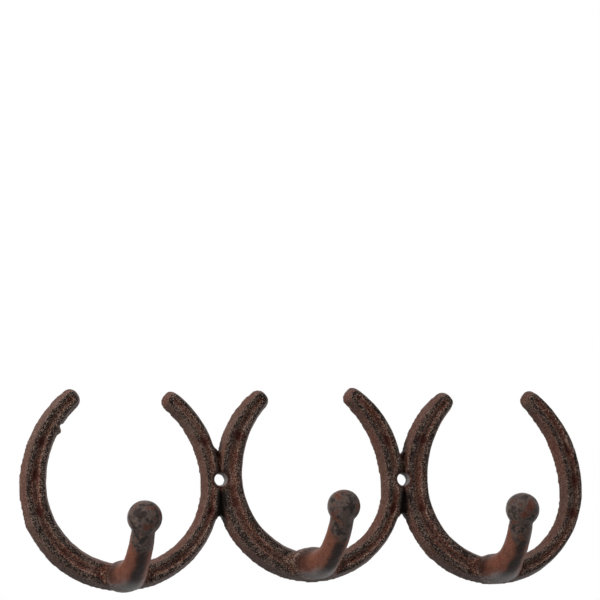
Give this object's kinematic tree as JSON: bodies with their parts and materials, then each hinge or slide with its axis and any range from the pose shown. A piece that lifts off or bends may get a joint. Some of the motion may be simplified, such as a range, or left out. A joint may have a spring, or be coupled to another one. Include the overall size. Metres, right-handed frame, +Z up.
{
  "type": "horseshoe hook rack",
  "caption": "Cast-iron wall rack of joined horseshoes, each with a ball-ended coat hook rising from its toe, and countersunk screw holes between the shoes.",
  "frame": {"origin": "midway between the two screw holes, on the flat back", "axes": "+X to the right along the rack as seen from the front, +Y from the rack into the wall, +Z up; the hooks reach out towards -Y"},
  "size_m": [0.3083, 0.0571, 0.1068],
  "materials": {
    "iron": "sand-cast surface with worn red-brown paint, black where it is rubbed, half matte"
  },
  "bodies": {
    "root": {"hook_rack": "iron"}
  },
  "joints": []
}
